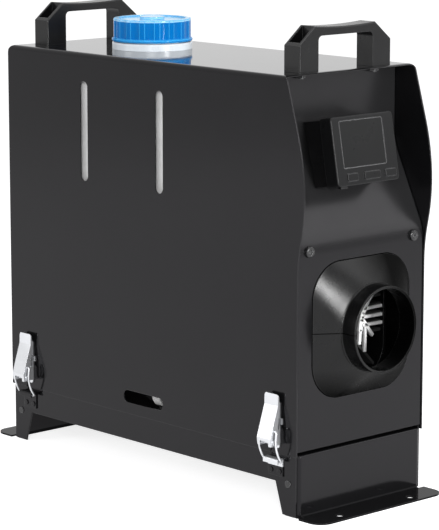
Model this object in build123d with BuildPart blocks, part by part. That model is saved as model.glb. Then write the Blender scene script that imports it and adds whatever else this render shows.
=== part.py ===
"""Portable diesel air heater: a sheet steel case on a footed tray, with tank, burner and blower inside.

Millimetres. +X is the end where the warm air comes out, +Z is up, and the origin is on the floor
below the middle of the case.
"""
from build123d import *
from math import atan, cos, radians, sin, sqrt
import os

os.makedirs("parts", exist_ok=True)

# ---------------------------------------------------------------- driving dimensions
# case
body_length = 375.0          # outer faces of the base's two end plates
body_width = 150.0           # outside of the cover
body_height = 364.0          # floor to the top of the cover
cover_sheet = 1.2
cover_bottom = 52.0          # lower edge of the cover above the floor
cover_bend = 4.0             # outside radius of the long top edges
cover_corner = 7.0           # rounded top corners of the side sheets
wing_bulge = 7.5             # how far the side sheets swell past the front plate
wing_peak_drop = 98.0        # fullest point below the cover's top
wing_root_drop = 166.0       # start of the swelling below the cover's top
wing_arc = 180.0             # radius above the fullest point
wing_slant = 16.5            # slope of the side sheets' front edge at the top, degrees

sight_slot_width = 10.0
sight_slot_length = 88.0
sight_slot_drop = 68.5       # middle of the level slots below the cover's top
sight_slot_x = (-81.0, 18.5)
vent_length = 52.0
vent_height = 11.0
vent_x = -3.5
vent_z = 67.5

# end panels
panel_gap = 0.6              # front panel stands this far inside the plane of the base plate
panel_bottom = 56.0
panel_return = 11.0          # depth of the side returns
panel_edge = 1.0             # rounding of the panels' upright edges
panel_bend_drop = 8.7        # front panel starts to lean back this far below the tank shelf
panel_recess = 34.4          # how far its top stands back
panel_recess_drop = 54.7     # upright top part starts this far below the cover's top
panel_shoulder_r = 36.5      # bends below and above the panel's straight slope
panel_hollow_r = 51.5
panel_top_gap = 0.4
side_gap = 0.3               # between the cover and what it slides over
rear_inset = 2.0             # rear panel inside the ends of the side sheets
panel_screw_y = (-61.0, 61.0)
panel_screw_drop = 5.1       # below the tank shelf
panel_cable_r = 5.0
panel_cable_rise = 12.0      # above the controller's middle

# base
base_sheet = 1.5
strip_bottom = 28.0          # lower edge of the tray's sides
tray_lap = 8.0               # tray's sides inside the cover
step_gap = 0.6               # around the end panels, where the tray's sides step down
tray_end = 2.0               # tray's sides stop this far short of the end plates' faces
leg_top_width = 26.0
leg_foot_width = 17.5
leg_clearance = 1.0          # legs end above the floor, the flanges carry the load
foot_top = 53.0
foot_return = 16.0           # depth of the end plates' returns
foot_edge = 3.0
bend_inside = 1.5            # inside radius of the flange's bend
flange_reach = 28.5
flange_corner = 13.0
flange_hole_r = 3.5
flange_hole_reach = 18.0
flange_hole_spacing = 84.0
base_rivet_r = 1.6
base_rivet_head_r = 3.2
base_rivet_inset = 11.0      # from the end plates' faces

# heater
axis_z = 153.0               # height of the heater's axis
case_side_room = 21.0        # between the square heater casing and the cover's outside
case_corner = 28.0
case_wall = 2.5
case_rear = -172.0
case_front = 163.0
tube_r = 28.0                # exchanger's burner tube, outside
tube_wall = 4.0
tube_rear = -66.0
tube_front = 150.0
dome_r = 12.0                # rounding of its closed front end
fin_rows = (-15.0, -7.5, 0.0, 7.5, 15.0)   # fins of each side, from its middle
fin_thickness = 2.4
fin_rear = -40.0
fin_front = 159.5
bulkhead = 4.0               # exchanger's rear flange
burner_r = 21.0
burner_length = 130.0
burner_rows = (-30.0, 5.0, 40.0)
plug_x = -50.0
plug_angle = 60.0
plug_r = 3.0
fit_gap = 0.3                # clearance of pieces that sit inside one another

# outlet
adaptor_lap = 13.0           # how far the adaptor reaches back over the casing
adaptor_wall = 2.5
adaptor_shoulder = 13.0      # length of the square-to-round shoulder
shoulder_ledge = 1.5         # between the shoulder's end and the nozzle
nozzle_r = 36.5
nozzle_wall = 2.2
nozzle_length = 15.0
panel_hole_gap = 0.8         # around the adaptor

# fuel tank
tank_rear = -170.0
tank_front = 132.0
tank_side_gap = 6.0          # inside the cover's outer faces
tank_drop = 12.0             # tank's top below the cover's top
tank_wall = 2.5
tank_corner = 12.0
shelf_sheet = 1.5
shelf_room = 4.5             # between the heater casing and the shelf's flanges
shelf_flange = 15.0
shelf_bend = 3.0
shelf_gap = 0.7              # between the shelf's flanges and the end panels
shelf_cable_r = 11.0
shelf_cable_reach = 18.0     # cable hole in front of the tank
neck_x = -75.5
neck_r = 30.8
neck_wall = 3.3
neck_rise = 22.2             # neck's rim above the cover
neck_hole_gap = 1.0
neck_ring_r = 35.5
neck_ring_height = 6.4
seal_thickness = 2.4
pad_width = 22.0
pad_length = 100.0
pad_round = 3.0
pad_x = (-140.0, 90.0)

# filler cap
cap_r = 34.3
cap_skirt_r = 35.8
cap_skirt = 2.6
cap_rise = 7.0               # cap's lower edge above the cover
cap_height = 20.0
cap_wall = 2.2
cap_flutes = 16
cap_flute_r = 13.0
cap_flute_depth = 1.0

# handles
handle_x = (-167.0, 157.0)
handle_length = 106.0
handle_width = 18.6
handle_height = 37.0
handle_leg = 21.5
handle_bar = 8.0
handle_slope_y = 18.5
handle_slope_z = 15.0
handle_wall = 2.8
handle_floor = 5.0
handle_dip = 1.4             # hollow of the grip's top
handle_round = 1.2

# latches: the profile's first value is the distance out from the cover's side, the second the height
latch_x = 162.5              # latches sit this far each side of the middle
latch_corners = ("rear_right", "rear_left", "front_right", "front_left")
latch_sheet = 1.2
bracket_width = 12.4
bracket_tab = 18.4           # small wings beside the lever
bracket_tab_height = 5.0
ear_r = 2.7
ear_top = 73.0
bracket_low = 57.0
bracket_high = 96.0
bracket_rivets = (80.0, 91.0)
lever_sheet = 1.0
lever_width = 16.0
lever_tip = 103.0
lever_shoulder = (4.7, 93.4)
lever_heel = (13.2, 66.5)
lever_cheek = ((12.4, 60.0), (9.6, 59.2), (6.2, 59.8), (4.6, 64.0), (4.6, 76.0), (2.6, 91.0))  # inner edge
lever_tip_out = 4.4
lever_low = 59.0             # lower end of its ears
lever_round = 3.2
lever_notch = (10.0, 64.0)   # between the ears: width, upper edge
lever_pivot = (8.5, 63.0)
pivot_pin_r = 1.5
pivot_head_r = 2.4
pivot_head = 0.7
pivot_side_gap = 0.15
pivot_play = 0.06
bail_pivot = (8.0, 72.5)
bail_wire_r = 0.9
bail_half_span = 10.2
bail_stub = 6.4              # inner end of the wire's pivots
bail_corner = 1.8
bail_lean = 12.0             # how far the arms start outwards, degrees
bail_end = (3.4, 47.4)       # lower end of the bowed arms
keeper_width = 17.2
keeper_gap = 0.6             # between the wire and the hook above it
keeper_reach = 1.15          # room for the wire to swing out of the hook
keeper_lip = 4.4
keeper_low = 33.0
keeper_rivet_z = 37.2
keeper_rivet_x = 5.0
rivet_r = 1.2
rivet_head_r = 2.2
rivet_head = 0.8

# controller
controller_reach = 2.85      # middle of its face beyond the front panel's
controller_drop = 63.5       # middle of its face below the cover's top
controller_tilt = 10.35      # lean of its face, degrees
controller_width = 72.0
controller_height = 57.0
controller_depth = 13.0
controller_corner = 3.5
controller_wall = 2.0
holder_inset = 1.5
holder_wall = 2.0
holder_tab = (-15.0, 8.0, 3.0)   # release tab under the holder: middle, width, drop
lens_width = 50.0
lens_height = 39.0
lens_offset = (-2.0, 5.3)
lens_thickness = 1.5
button_row = -21.8
button_height = 6.2
button_spots = ((-18.6, 12.0), (4.3, 18.5), (25.6, 13.0))  # middle, width
button_proud = 1.0
button_gap = 0.25
button_flange = 1.0
button_stem = 3.2
board_thickness = 1.6

# blower
shaft_r = 2.5
running_gap = 0.05
motor_r = 19.0
motor_rear = -142.0
motor_front = -98.0
housing_room = 14.0          # between the drum and the casing's outer faces
housing_wall = 2.5
fan_room = 10.0
fan_rear = -166.0
fan_width = 14.0
fan_hub_r = 14.0
fan_blades = 9
fan_pitch = 38.0             # blade angle, degrees
impeller_room = 10.0         # between the combustion air wheel and the drum's outside
impeller_rear = -92.0
grille_collar_room = 6.0     # between the grille's collar and the casing's outer faces
grille_flange_lap = 2.0      # grille's flange beyond them
grille_rings = (16.0, 26.0, 36.0)
grille_hub_r = 8.0
grille_bar = 2.4
grommet_place = (52.0, 82.0)
grommet_r = 8.0
intake_x = -84.0
intake_r = 11.0
exhaust_x = -30.0
exhaust_r = 12.0
fuel_stub_x = -52.0
fuel_stub_r = 2.6
stub_wall = 2.0
stub_end = 8.0               # pipe stubs' height above the floor
stand_rear = -112.0
stand_front = -8.0
stand_half_width = 30.0
stand_flange = 11.0
stand_bolt_rear = 12.0       # bolts inside the stand's ends
stand_bolt_front = 4.0
stand_bolt_side = 21.2
gasket_thickness = 2.0
pipe_wall = 1.2
pipe_spigot = 19.0           # lower end that takes an outside pipe
pipe_step = 0.5              # pipe is this much thicker above it
pipe_clamp = 6.0
pipe_top = 94.0
stub_joint = 88.0            # lower ends of the heater's own stubs
grille_thickness = 2.4

# fuel pump and lines
pump_r = 11.0
pump_front = 28.0
pump_length = 52.0
pump_y = -48.0
pump_z = 71.0
spigot_r = 3.0
spigot_length = 12.0
plunger_r = 4.0
plunger_length = 26.0
plunger_stroke = 2.0
hose_r = 4.2
hose_bore = 3.05
hose_lap = 9.0               # hoses reach this far over their spigots
filter_r = 8.5
filter_length = 34.0
filter_z = 180.0
fuel_outlet_x = 70.0
fuel_outlet_room = 9.5       # outlet and filter beside the heater casing
fuel_stub_end = 84.0

# fasteners
screw_r = 2.4
screw_gap = 0.05
screw_head_r = 4.8
screw_head = 2.6
panel_screw_length = 9.0
nut_r = 4.2
nut_height = 3.6

# ---------------------------------------------------------------- places worked out from them
front = body_length / 2
rear = -front
side = body_width / 2
inner_side = side - cover_sheet
base_side = inner_side - side_gap
base_inner = base_side - base_sheet
cover_ceiling = body_height - cover_sheet
panel_face = front - panel_gap
panel_inside = panel_face - cover_sheet
panel_top = cover_ceiling - panel_top_gap
recess_x = panel_face - panel_recess
recess_top = body_height - panel_recess_drop
rear_face = rear + rear_inset
tray_top = cover_bottom + tray_lap
tray_floor = strip_bottom + base_sheet
leg_x = front - leg_top_width
wing_peak = body_height - wing_peak_drop
wing_root = body_height - wing_root_drop
sight_slot_z = body_height - sight_slot_drop
controller_x = panel_face + controller_reach
controller_z = body_height - controller_drop
case_half = side - case_side_room
case_inner = case_half - case_wall
case_inner_corner = case_corner - case_wall
case_bottom = axis_z - case_half
adaptor_half = case_half + fit_gap + adaptor_wall
adaptor_corner = case_corner + fit_gap + adaptor_wall
adaptor_rear = case_front - adaptor_lap
shoulder_front = front + adaptor_shoulder
nozzle_front = shoulder_front + nozzle_length
shelf_top = axis_z + case_half + shelf_room + shelf_flange
panel_screw_z = shelf_top - panel_screw_drop
panel_bend_z = shelf_top - panel_bend_drop
recess_run = recess_top - panel_bend_z
bend_room = (recess_run ** 2 + panel_recess ** 2) / (2 * panel_recess)
bend_share = min(1.0, 0.98 * bend_room / (panel_shoulder_r + panel_hollow_r))
shoulder_bend_r = bend_share * panel_shoulder_r
hollow_bend_r = bend_share * panel_hollow_r
bend_radii = shoulder_bend_r + hollow_bend_r
recess_slope = sqrt(recess_run ** 2 + panel_recess ** 2 - 2 * bend_radii * panel_recess)
recess_angle = 2 * atan((recess_run - recess_slope) / (2 * bend_radii - panel_recess))
tank_bottom = shelf_top
tank_top = body_height - tank_drop
tank_half_width = side - tank_side_gap
neck_top = body_height + neck_rise
cap_bottom = body_height + cap_rise
housing_r = case_half - housing_room
fan_r = case_half - fan_room
impeller_r = housing_r - impeller_room
grille_collar_r = case_half - grille_collar_room
grille_flange_r = case_half + grille_flange_lap
fuel_outlet_y = -(case_half + fuel_outlet_room)
neck_bore = neck_r - neck_wall
cap_top = cap_bottom + cap_height
bulkhead_rear = tube_rear - bulkhead
stand_top = case_bottom - gasket_thickness
stub_hole_gap = 1.0
written = []


def save(shape, name):
    """Writes one piece under its node's name."""
    shape.label = name
    export_step(shape, f"parts/{name}.step")
    written.append(name)


def facing(direction, x, y, z):
    """A place whose Z axis points along +X, -X, +Y or -Y, for screws and holes."""
    turns = {"+X": (0, 90, 0), "-X": (0, -90, 0), "+Y": (-90, 0, 0), "-Y": (90, 0, 0)}
    return Location((x, y, z), turns[direction])


# ---------------------------------------------------------------- cover
def handle_screw_places():
    inset = handle_length / 2 - handle_leg / 2
    return [(x, y) for x in handle_x for y in (-inset, inset)]


def make_cover():
    peak = (front + wing_bulge, wing_peak)
    middle = (front + wing_bulge / 2, (wing_peak + wing_root) / 2)
    slant = radians(wing_slant)
    arc_end = (peak[0] - wing_arc * (1 - cos(slant)), peak[1] + wing_arc * sin(slant))
    top_front = (arc_end[0] - (body_height - arc_end[1]) * sin(slant) / cos(slant), body_height)
    with BuildSketch(Plane.XZ) as outline:
        with BuildLine():
            Polyline((front, wing_root), (front, cover_bottom), (rear, cover_bottom),
                     (rear, body_height), top_front, arc_end)
            TangentArc(peak, arc_end, tangent=(0, 1))
            TangentArc(peak, middle, tangent=(0, -1))
            TangentArc((front, wing_root), middle, tangent=(0, 1))
        make_face()
        top_corners = outline.vertices().filter_by(lambda v: v.Y > body_height - 0.01)
        fillet(top_corners, cover_corner)
    with BuildPart() as cover_shell:
        for inset, mode in ((0.0, Mode.ADD), (cover_sheet, Mode.SUBTRACT)):
            with BuildSketch(Plane.YZ.offset(rear)) as section:
                Rectangle(body_width - 2 * inset, body_height - inset, align=(Align.CENTER, Align.MIN))
                fillet(section.vertices().group_by(Axis.Y)[-1], cover_bend - inset)
            extrude(amount=body_length + 2 * wing_bulge, mode=mode)
        extrude(outline.sketch, amount=side, both=True, mode=Mode.INTERSECT)
        with BuildSketch(Plane.XZ):
            with Locations(*[(x, sight_slot_z) for x in sight_slot_x]):
                SlotOverall(sight_slot_length, sight_slot_width, rotation=90)
            with Locations((vent_x, vent_z)):
                SlotOverall(vent_length, vent_height)
            with Locations(*[(x, z) for x in (-latch_x, latch_x) for z in bracket_rivets]):
                Circle(rivet_r)
        extrude(amount=body_width, both=True, mode=Mode.SUBTRACT)
        with Locations((neck_x, 0, body_height)):
            Hole(neck_r + neck_hole_gap, depth=2 * cover_sheet)
        with Locations(*[(x, y, body_height) for x, y in handle_screw_places()]):
            Hole(screw_r + 0.2, depth=2 * cover_sheet)
    save(cover_shell.part, "cover_shell")


def inside_section(x):
    """Outline that clears the inside of the cover all round, for what slides into it."""
    with BuildSketch(Plane.YZ.offset(x)) as section:
        Rectangle(2 * base_side, panel_top, align=(Align.CENTER, Align.MIN))
        fillet(section.vertices().group_by(Axis.Y)[-1], cover_bend - cover_sheet)
    return section.sketch


# ---------------------------------------------------------------- end panels
def panel_x(z, inset=0.0):
    """X of the front panel at a height, or of the line that far behind its face."""
    low, high = panel_line(inset)[2:4]
    if z <= panel_bend_z:
        return panel_face - inset
    if z <= low[1]:
        return panel_face - shoulder_bend_r + sqrt((shoulder_bend_r - inset) ** 2 - (z - panel_bend_z) ** 2)
    if z <= high[1]:
        return low[0] + (high[0] - low[0]) * (z - low[1]) / (high[1] - low[1])
    if z <= recess_top:
        return recess_x + hollow_bend_r - sqrt((hollow_bend_r + inset) ** 2 - (recess_top - z) ** 2)
    return recess_x - inset


def panel_line(inset):
    """Corners and bend points of the front panel's line, from its foot to its top."""
    shoulder, hollow = shoulder_bend_r - inset, hollow_bend_r + inset
    low = (panel_face - shoulder_bend_r + shoulder * cos(recess_angle),
           panel_bend_z + shoulder * sin(recess_angle))
    high = (recess_x + hollow_bend_r - hollow * cos(recess_angle), recess_top - hollow * sin(recess_angle))
    return ((panel_face - inset, panel_bottom), (panel_face - inset, panel_bend_z), low, high,
            (recess_x - inset, recess_top), (recess_x - inset, panel_top))


def panel_section(back, shift, y=0.0):
    """Closed outline between the panel's face and a line behind it: parallel, or moved straight back."""
    face = panel_line(0)
    line = [(x - shift, z) for x, z in panel_line(back)]
    with BuildSketch(Plane.XZ.offset(-y)) as section:
        with BuildLine():
            for foot, bend, low, high, hollow, top in (face, line):
                Line(foot, bend)
                TangentArc(bend, low, tangent=(0, 1))
                Line(low, high)
                TangentArc(hollow, high, tangent=(0, -1))
                Line(hollow, top)
            Line(face[0], line[0])
            Line(face[-1], line[-1])
        make_face()
    return section.sketch


def make_front_panel():
    with BuildPart() as front_panel:
        extrude(panel_section(cover_sheet, 0), amount=base_side, both=True)
        for edge in (base_side, cover_sheet - base_side):
            extrude(panel_section(0, panel_return, edge), amount=cover_sheet)
        extrude(inside_section(recess_x - 2 * panel_return), amount=body_length, mode=Mode.INTERSECT)
        outer = front_panel.edges().filter_by(
            lambda e: abs(abs(e.center().Y) - base_side) < 0.01
            and abs(e.center().X - panel_x(e.center().Z)) < 0.7 and e.length > 10)
        fillet(outer, panel_edge)
        with BuildSketch(Plane.YZ.offset(panel_face)):
            with Locations((0, axis_z)):
                RectangleRounded(2 * (adaptor_half + panel_hole_gap), 2 * (adaptor_half + panel_hole_gap),
                                 adaptor_corner + panel_hole_gap)
        extrude(amount=-2 * cover_sheet, mode=Mode.SUBTRACT)
        with Locations(*[facing("+X", panel_face + 1, y, panel_screw_z) for y in panel_screw_y]):
            Hole(screw_r + 0.2, depth=5 * cover_sheet)
        with Locations(facing("+X", recess_x + 1, 0, controller_z + panel_cable_rise)):
            Hole(panel_cable_r, depth=5 * cover_sheet)
    save(front_panel.part, "front_panel")


def make_rear_panel():
    height = panel_top - panel_bottom
    with BuildPart() as rear_panel:
        with Locations((rear_face, 0, panel_bottom)):
            Box(panel_return, 2 * base_side, height, align=(Align.MIN, Align.CENTER, Align.MIN))
        fillet(rear_panel.edges().filter_by(Axis.Z).group_by(Axis.X)[0], panel_edge)
        with Locations((rear_face + cover_sheet, 0, panel_bottom)):
            Box(panel_return, 2 * (base_side - cover_sheet), height,
                align=(Align.MIN, Align.CENTER, Align.MIN), mode=Mode.SUBTRACT)
        extrude(inside_section(rear), amount=2 * panel_return, mode=Mode.INTERSECT)
        with Locations(facing("-X", rear_face, 0, axis_z)):
            Hole(grille_collar_r + fit_gap, depth=2 * cover_sheet)
        with Locations(*[facing("-X", rear_face, y, panel_screw_z) for y in panel_screw_y]):
            Hole(screw_r + 0.2, depth=2 * cover_sheet)
        with Locations(facing("-X", rear_face, *grommet_place)):
            Hole(grommet_r, depth=2 * cover_sheet)
    save(rear_panel.part, "rear_panel")


# ---------------------------------------------------------------- base
def flange_holes():
    return [(flange_hole_reach, y) for y in (-flange_hole_spacing / 2, flange_hole_spacing / 2)]


def base_rivet_places():
    x = front - base_rivet_inset
    return [(end * x, strip_bottom) for end in (-1, 1)]


def make_base_tray():
    tray_half = front - tray_end
    floor_half = leg_x - base_sheet
    lap_half = front - panel_return - rear_inset - step_gap
    with BuildSketch(Plane.XZ) as side_sheet:
        with BuildLine():
            Polyline((0, strip_bottom), (leg_x, strip_bottom),
                     (tray_half - leg_foot_width + tray_end, leg_clearance), (tray_half, leg_clearance),
                     (tray_half, panel_bottom - step_gap), (lap_half, panel_bottom - step_gap),
                     (lap_half, tray_top), (0, tray_top), close=True)
        make_face()
        mirror(about=Plane.YZ)
    with BuildPart() as base_tray:
        extrude(side_sheet.sketch, amount=base_side, both=True)
        extrude(side_sheet.sketch, amount=base_inner, both=True, mode=Mode.SUBTRACT)
        with Locations((0, 0, strip_bottom)):
            Box(2 * floor_half, 2 * base_inner, base_sheet, align=(Align.CENTER, Align.CENTER, Align.MIN))
            Box(2 * (front - foot_return), 2 * (base_inner - foot_return), base_sheet,
                align=(Align.CENTER, Align.CENTER, Align.MIN))
        with Locations((exhaust_x, 0, tray_floor)):
            Hole(exhaust_r + 3 * stub_hole_gap, depth=2 * base_sheet)
        with Locations((intake_x, 0, tray_floor)):
            Hole(intake_r + 3 * stub_hole_gap, depth=2 * base_sheet)
        with BuildSketch(Plane.XZ):
            with Locations(*base_rivet_places()):
                Circle(base_rivet_r)
            with Locations(*[(x + dx, keeper_rivet_z) for x in (-latch_x, latch_x)
                             for dx in (-keeper_rivet_x, keeper_rivet_x)]):
                Circle(rivet_r)
        extrude(amount=body_width, both=True, mode=Mode.SUBTRACT)
    save(base_tray.part, "base_tray")


def make_foot_plate(end, name):
    """End plate of the base: face, side returns, top return and the flange that stands on the floor."""
    half = base_inner - 0.1
    with BuildPart() as foot:
        with Locations((front - foot_return, 0, 0)):
            Box(foot_return, 2 * half, foot_top, align=(Align.MIN, Align.CENTER, Align.MIN))
        fillet(foot.edges().filter_by(Axis.Z).group_by(Axis.X)[-1], foot_edge)
        fillet(foot.edges().filter_by(Axis.Y).group_by(Axis.Z)[-1].sort_by(Axis.X)[-1], foot_edge / 2)
        with Locations((front - foot_return, 0, 0)):
            Box(foot_return - base_sheet, 2 * (half - base_sheet), foot_top - base_sheet,
                align=(Align.MIN, Align.CENTER, Align.MIN), mode=Mode.SUBTRACT)
        with BuildSketch(Plane.XY) as flange:
            with Locations((front - base_sheet, 0)):
                Rectangle(flange_reach + base_sheet, 2 * (half - foot_edge), align=(Align.MIN, Align.CENTER))
            with Locations((front + foot_edge, 0)):
                Rectangle(flange_reach - foot_edge, body_width, align=(Align.MIN, Align.CENTER))
            fillet(flange.vertices().group_by(Axis.X)[-1], flange_corner)
        extrude(amount=base_sheet)
        with Locations(*[(front + x, y, base_sheet) for x, y in flange_holes()]):
            Hole(flange_hole_r, depth=2 * base_sheet)
        with BuildSketch(Plane.XZ):
            with BuildLine():
                low = (front + bend_inside, base_sheet)
                bend = TangentArc(low, (front, base_sheet + bend_inside), tangent=(-1, 0))
                Polyline(bend @ 1, (front, base_sheet), low)
            make_face()
        extrude(amount=half - foot_edge, both=True)
        with BuildSketch(Plane.XZ):
            with Locations((front - base_rivet_inset, strip_bottom)):
                Circle(base_rivet_r)
        extrude(amount=body_width, both=True, mode=Mode.SUBTRACT)
    if end > 0:
        save(foot.part, name)
    else:
        save(mirror(foot.part, about=Plane.YZ), name)


def make_base_rivets():
    with BuildPart() as rivets:
        for way, turn in ((1, "+Y"), (-1, "-Y")):
            for x, z in base_rivet_places():
                with Locations(facing(turn, x, way * base_side, z)):
                    Cylinder(base_rivet_head_r, 1.0, align=(Align.CENTER, Align.CENTER, Align.MIN))
                    Cylinder(base_rivet_r, 2 * base_sheet + 1.1,
                             align=(Align.CENTER, Align.CENTER, Align.MAX))
        fillet(rivets.edges().filter_by(GeomType.CIRCLE).filter_by(
            lambda e: abs(e.center().Y) > base_side + 0.9), 0.8)
    save(rivets.part, "base_rivets")


# ---------------------------------------------------------------- screws and handles
def make_case_screws():
    """Cross-headed screws of the end panels, and the handles' screws with their nuts."""
    panel_places = [facing(turn, x, y, panel_screw_z)
                    for x, turn in ((panel_face, "+X"), (rear_face, "-X")) for y in panel_screw_y]
    handle_places = [Location((x, y, body_height + handle_floor)) for x, y in handle_screw_places()]
    grip = handle_floor + cover_sheet + nut_height + 1
    with BuildPart() as screws:
        for places, length in ((panel_places, panel_screw_length), (handle_places, grip)):
            with Locations(*places):
                Cylinder(screw_head_r, screw_head, align=(Align.CENTER, Align.CENTER, Align.MIN))
                Cylinder(screw_r, length, align=(Align.CENTER, Align.CENTER, Align.MAX))
        rims = screws.edges().filter_by(GeomType.CIRCLE).filter_by(
            lambda e: abs(e.radius - screw_head_r) < 0.01
            and (e.center().Z > body_height + handle_floor + 0.1 or abs(e.center().X) > panel_face + 0.1
                 or e.center().X < rear_face - 0.1) and e.center().Z != body_height)
        fillet(rims, 0.6 * screw_head)
        with BuildSketch(*[Plane(place).offset(screw_head) for place in panel_places + handle_places]):
            Rectangle(4.6, 1.1)
            Rectangle(1.1, 4.6)
        extrude(amount=-0.5 * screw_head, mode=Mode.SUBTRACT)
        with BuildSketch(*[Plane((x, y, cover_ceiling)) for x, y in handle_screw_places()]):
            RegularPolygon(nut_r, 6, rotation=30)
        extrude(amount=-nut_height)
    save(screws.part, "case_screws")


def make_handle(x, name):
    half = handle_length / 2
    shoulder = half - handle_slope_y
    edge_top = handle_height - handle_slope_z
    window = half - handle_leg
    with BuildPart() as handle:
        with BuildSketch(Plane.YZ.offset(x - handle_width / 2)) as outline:
            with BuildLine():
                Polyline((-shoulder, body_height + handle_height), (-half, body_height + edge_top),
                         (-half, body_height), (half, body_height), (half, body_height + edge_top),
                         (shoulder, body_height + handle_height))
                ThreePointArc((-shoulder, body_height + handle_height),
                              (0, body_height + handle_height - handle_dip),
                              (shoulder, body_height + handle_height))
            make_face()
        extrude(amount=handle_width)
        long_edges = handle.edges().filter_by(lambda e: e.center().Z > body_height + 1).filter_by(
            lambda e: abs(abs(e.center().X - x) - handle_width / 2) < 0.01)
        fillet(long_edges, handle_round)
        with BuildSketch(Plane.YZ.offset(x - handle_width)) as gap:
            with Locations((0, body_height)):
                Rectangle(2 * window, handle_height - handle_bar, align=(Align.CENTER, Align.MIN))
            fillet(gap.vertices().group_by(Axis.Y)[-1], 4)
        extrude(amount=2 * handle_width, mode=Mode.SUBTRACT)
        pocket = handle_leg - 2 * handle_wall
        for way in (-1, 1):
            with Locations((x, way * (half - handle_wall), body_height + handle_floor)):
                Box(handle_width - 2 * handle_wall, pocket, handle_height,
                    align=(Align.CENTER, Align.MAX if way > 0 else Align.MIN, Align.MIN),
                    mode=Mode.SUBTRACT)
        with Locations(*[(x, y, body_height + handle_floor) for px, y in handle_screw_places() if px == x]):
            Hole(screw_r + 0.2, depth=2 * handle_floor)
    save(handle.part, name)


# ---------------------------------------------------------------- fuel tank
def make_tank_shelf():
    flange_x = (rear_face + cover_sheet + shelf_gap, panel_inside - shelf_gap)
    with BuildPart() as shelf:
        with Locations((flange_x[0], 0, shelf_top)):
            Box(flange_x[1] - flange_x[0], 2 * (base_side - cover_sheet - side_gap), shelf_flange,
                align=(Align.MIN, Align.CENTER, Align.MAX))
        fillet(shelf.edges().filter_by(Axis.Y).group_by(Axis.Z)[-1], shelf_bend)
        with Locations((flange_x[0] + shelf_sheet, 0, shelf_top - shelf_sheet)):
            Box(flange_x[1] - flange_x[0] - 2 * shelf_sheet, 2 * base_side, shelf_flange,
                align=(Align.MIN, Align.CENTER, Align.MAX), mode=Mode.SUBTRACT)
        with BuildSketch(Plane.YZ):
            with Locations(*[(y, panel_screw_z) for y in panel_screw_y]):
                Circle(screw_r + screw_gap)
        extrude(amount=body_length, both=True, mode=Mode.SUBTRACT)
        with Locations((tank_front + shelf_cable_reach, 0, shelf_top)):
            Hole(shelf_cable_r, depth=2 * shelf_sheet)
        with Locations((fuel_outlet_x, fuel_outlet_y, shelf_top)):
            Hole(spigot_r + 2.5, depth=2 * shelf_sheet)
    save(shelf.part, "tank_shelf")


def make_tank():
    length = tank_front - tank_rear
    middle = (tank_front + tank_rear) / 2
    with BuildPart() as tank:
        with Locations((middle, 0, tank_bottom)):
            Box(length, 2 * tank_half_width, tank_top - tank_bottom, align=(Align.CENTER, Align.CENTER, Align.MIN))
        fillet(tank.edges().filter_by(Axis.Z), tank_corner)
        fillet(tank.edges().group_by(Axis.Z)[-1] + tank.edges().group_by(Axis.Z)[0], tank_corner / 2)
        with Locations((neck_x, 0, tank_top - tank_wall)):
            Cylinder(neck_r, neck_top - tank_top + tank_wall, align=(Align.CENTER, Align.CENTER, Align.MIN))
        with Locations((fuel_outlet_x, fuel_outlet_y, tank_bottom + tank_wall)):
            Cylinder(spigot_r, spigot_length + tank_wall, align=(Align.CENTER, Align.CENTER, Align.MAX))
        with BuildSketch(Plane.XY.offset(tank_bottom + tank_wall)):
            with Locations((middle, 0)):
                RectangleRounded(length - 2 * tank_wall, 2 * (tank_half_width - tank_wall),
                                 tank_corner - tank_wall)
        extrude(amount=tank_top - tank_bottom - 2 * tank_wall, mode=Mode.SUBTRACT)
        with Locations((neck_x, 0, neck_top)):
            Hole(neck_bore, depth=neck_top - tank_top + 2 * tank_wall)
        with Locations((fuel_outlet_x, fuel_outlet_y, tank_bottom + 2 * tank_wall)):
            Hole(spigot_r - 1.2, depth=spigot_length + 4 * tank_wall)
        inside = tank.edges().filter_by(lambda e: tank_bottom + tank_wall - 0.01 < e.center().Z
                                        < tank_bottom + tank_wall + 0.01 and e.length > 2 * tank_half_width / 3)
        fillet(inside.filter_by(GeomType.LINE), 2)
    save(tank.part, "fuel_tank")


def make_neck_ring():
    """Ring that clamps the tank's neck to the cover."""
    with BuildPart() as ring:
        with Locations((neck_x, 0, body_height)):
            Cylinder(neck_ring_r, neck_ring_height, align=(Align.CENTER, Align.CENTER, Align.MIN))
        fillet(ring.edges().group_by(Axis.Z)[-1], 1.6)
        with Locations((neck_x, 0, body_height + neck_ring_height)):
            Hole(neck_r + 0.1, depth=2 * neck_ring_height)
    save(ring.part, "neck_ring")


def make_tank_pads():
    """Foam strips between the tank and the cover, glued under the cover."""
    with BuildPart() as pads:
        with Locations(*[(x, 0, tank_top) for x in pad_x]):
            Box(pad_width, pad_length, cover_ceiling - tank_top, align=(Align.CENTER, Align.CENTER, Align.MIN))
        fillet(pads.edges().filter_by(Axis.Z), pad_round)
    save(pads.part, "tank_pads")


# ---------------------------------------------------------------- filler cap
def make_cap_seal():
    with BuildPart() as seal:
        with Locations((neck_x, 0, neck_top + 0.1)):
            Cylinder(neck_r, seal_thickness, align=(Align.CENTER, Align.CENTER, Align.MIN))
            Hole(neck_bore - 2.5, depth=2 * seal_thickness)
    save(seal.part, "cap_seal")


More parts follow.
